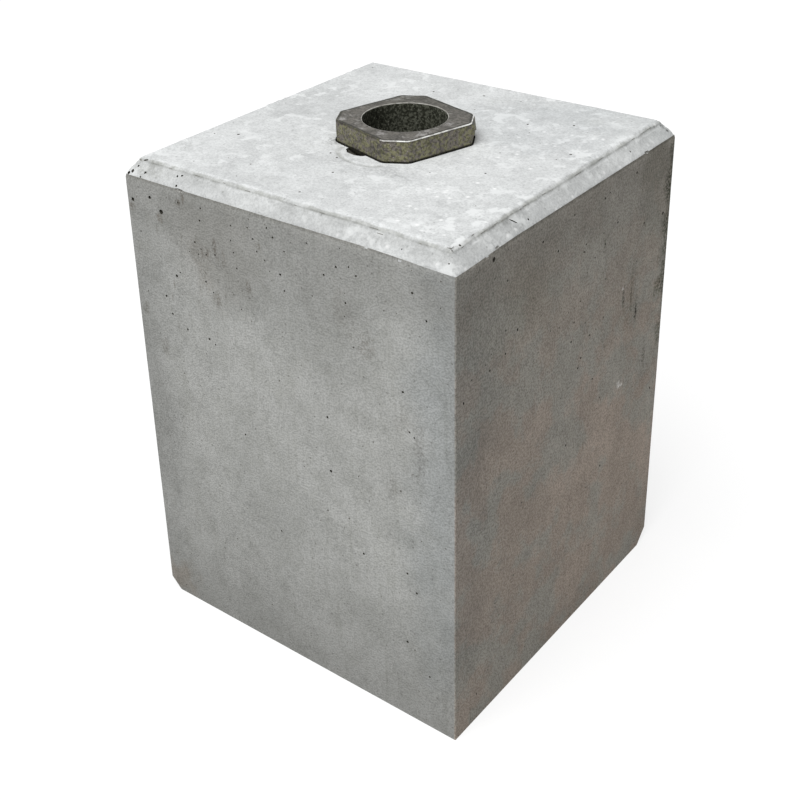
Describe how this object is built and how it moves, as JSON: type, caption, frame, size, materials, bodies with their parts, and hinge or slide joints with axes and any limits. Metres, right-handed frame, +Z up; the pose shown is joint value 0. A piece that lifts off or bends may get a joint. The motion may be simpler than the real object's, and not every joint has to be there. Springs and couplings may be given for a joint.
{
  "type": "deck pier block",
  "caption": "Square precast concrete pier block with a chamfered top rim and a steel post socket on its axis, closed by a square collar with cut corners.",
  "frame": {"origin": "centre of the block's base", "axes": "+Z up along the socket's axis, X and Y square to the block's sides"},
  "size_m": [0.3, 0.3, 0.417],
  "materials": {
    "concrete": "cast concrete, matt, trowelled on top",
    "collar_steel": "dull weathered steel with an olive tarnish",
    "sleeve_steel": "dark, dull, specked with cement"
  },
  "bodies": {
    "root": {"concrete_block": "concrete", "socket_collar": "collar_steel", "socket_sleeve": "sleeve_steel"}
  },
  "joints": []
}
